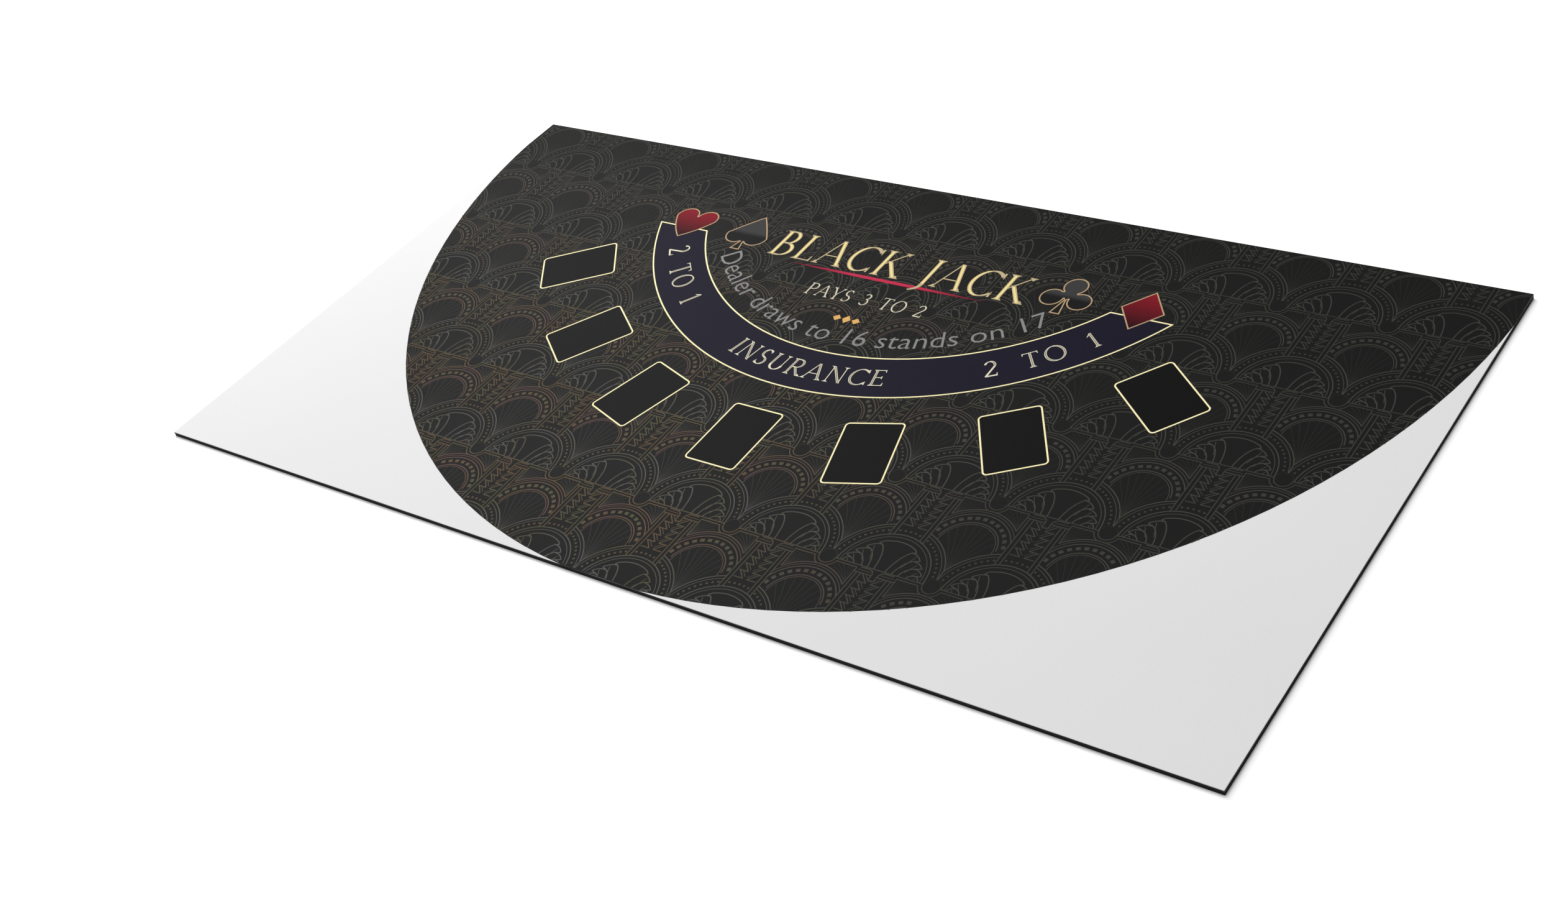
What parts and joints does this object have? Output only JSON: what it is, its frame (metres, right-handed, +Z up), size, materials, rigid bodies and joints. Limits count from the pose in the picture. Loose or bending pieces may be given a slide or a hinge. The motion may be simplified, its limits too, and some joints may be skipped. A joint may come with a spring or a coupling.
{
  "type": "blackjack table mat",
  "caption": "Flat rectangular rubber-backed cloth mat printed with a half-round blackjack layout: curved insurance band, a fan of card boxes and suit emblems.",
  "frame": {"origin": "middle of the underside, where the mat rests on a table", "axes": "+X along the straight dealer edge, to the right as the players see it; +Y from the players' edge to the dealer edge; +Z up out of the printed face"},
  "size_m": [1.4, 0.7, 0.006],
  "materials": {
    "grip_rubber": "matt black rubber with a moulded grip pattern",
    "sponge_rubber": "black open-cell sponge rubber, cut edge",
    "bond_film": "thin adhesive film",
    "knit_cloth": "smooth white knitted polyester",
    "ground_ink": "charcoal dye-printed ground with fine fan linework",
    "band_ink": "midnight blue print",
    "gold_ink": "pale gold print",
    "card_ink": "plain charcoal print",
    "suit_red_ink": "red print, darker towards the bottom",
    "suit_black_ink": "two-tone charcoal print",
    "suit_line_ink": "pale copper print",
    "title_ink": "gold print with a soft metallic gradient",
    "swoosh_ink": "crimson print",
    "rule_ink": "mid grey print",
    "band_text_ink": "cream and gold print"
  },
  "bodies": {
    "root": {"grip_skin": "grip_rubber", "foam_core": "sponge_rubber", "bond_film": "bond_film", "face_cloth": "knit_cloth", "ground_print": "ground_ink", "insurance_band": "band_ink", "band_outline": "gold_ink", "card_box_1": "card_ink", "card_frame_1": "gold_ink", "card_box_2": "card_ink", "card_frame_2": "gold_ink", "card_box_3": "card_ink", "card_frame_3": "gold_ink", "card_box_4": "card_ink", "card_frame_4": "gold_ink", "card_box_5": "card_ink", "card_frame_5": "gold_ink", "card_box_6": "card_ink", "card_frame_6": "gold_ink", "card_box_7": "card_ink", "card_frame_7": "gold_ink", "heart_emblem": "suit_red_ink", "heart_outline": "suit_line_ink", "spade_emblem": "suit_black_ink", "spade_outline": "suit_line_ink", "club_emblem": "suit_black_ink", "club_outline": "suit_line_ink", "diamond_emblem": "suit_red_ink", "diamond_outline": "suit_line_ink", "title_lettering": "title_ink", "title_swoosh": "swoosh_ink", "payout_lettering": "title_ink", "header_ornament": "title_ink", "dealer_lettering": "rule_ink", "insurance_lettering": "band_text_ink", "odds_lettering_left": "band_text_ink", "odds_lettering_right": "band_text_ink"}
  },
  "joints": []
}
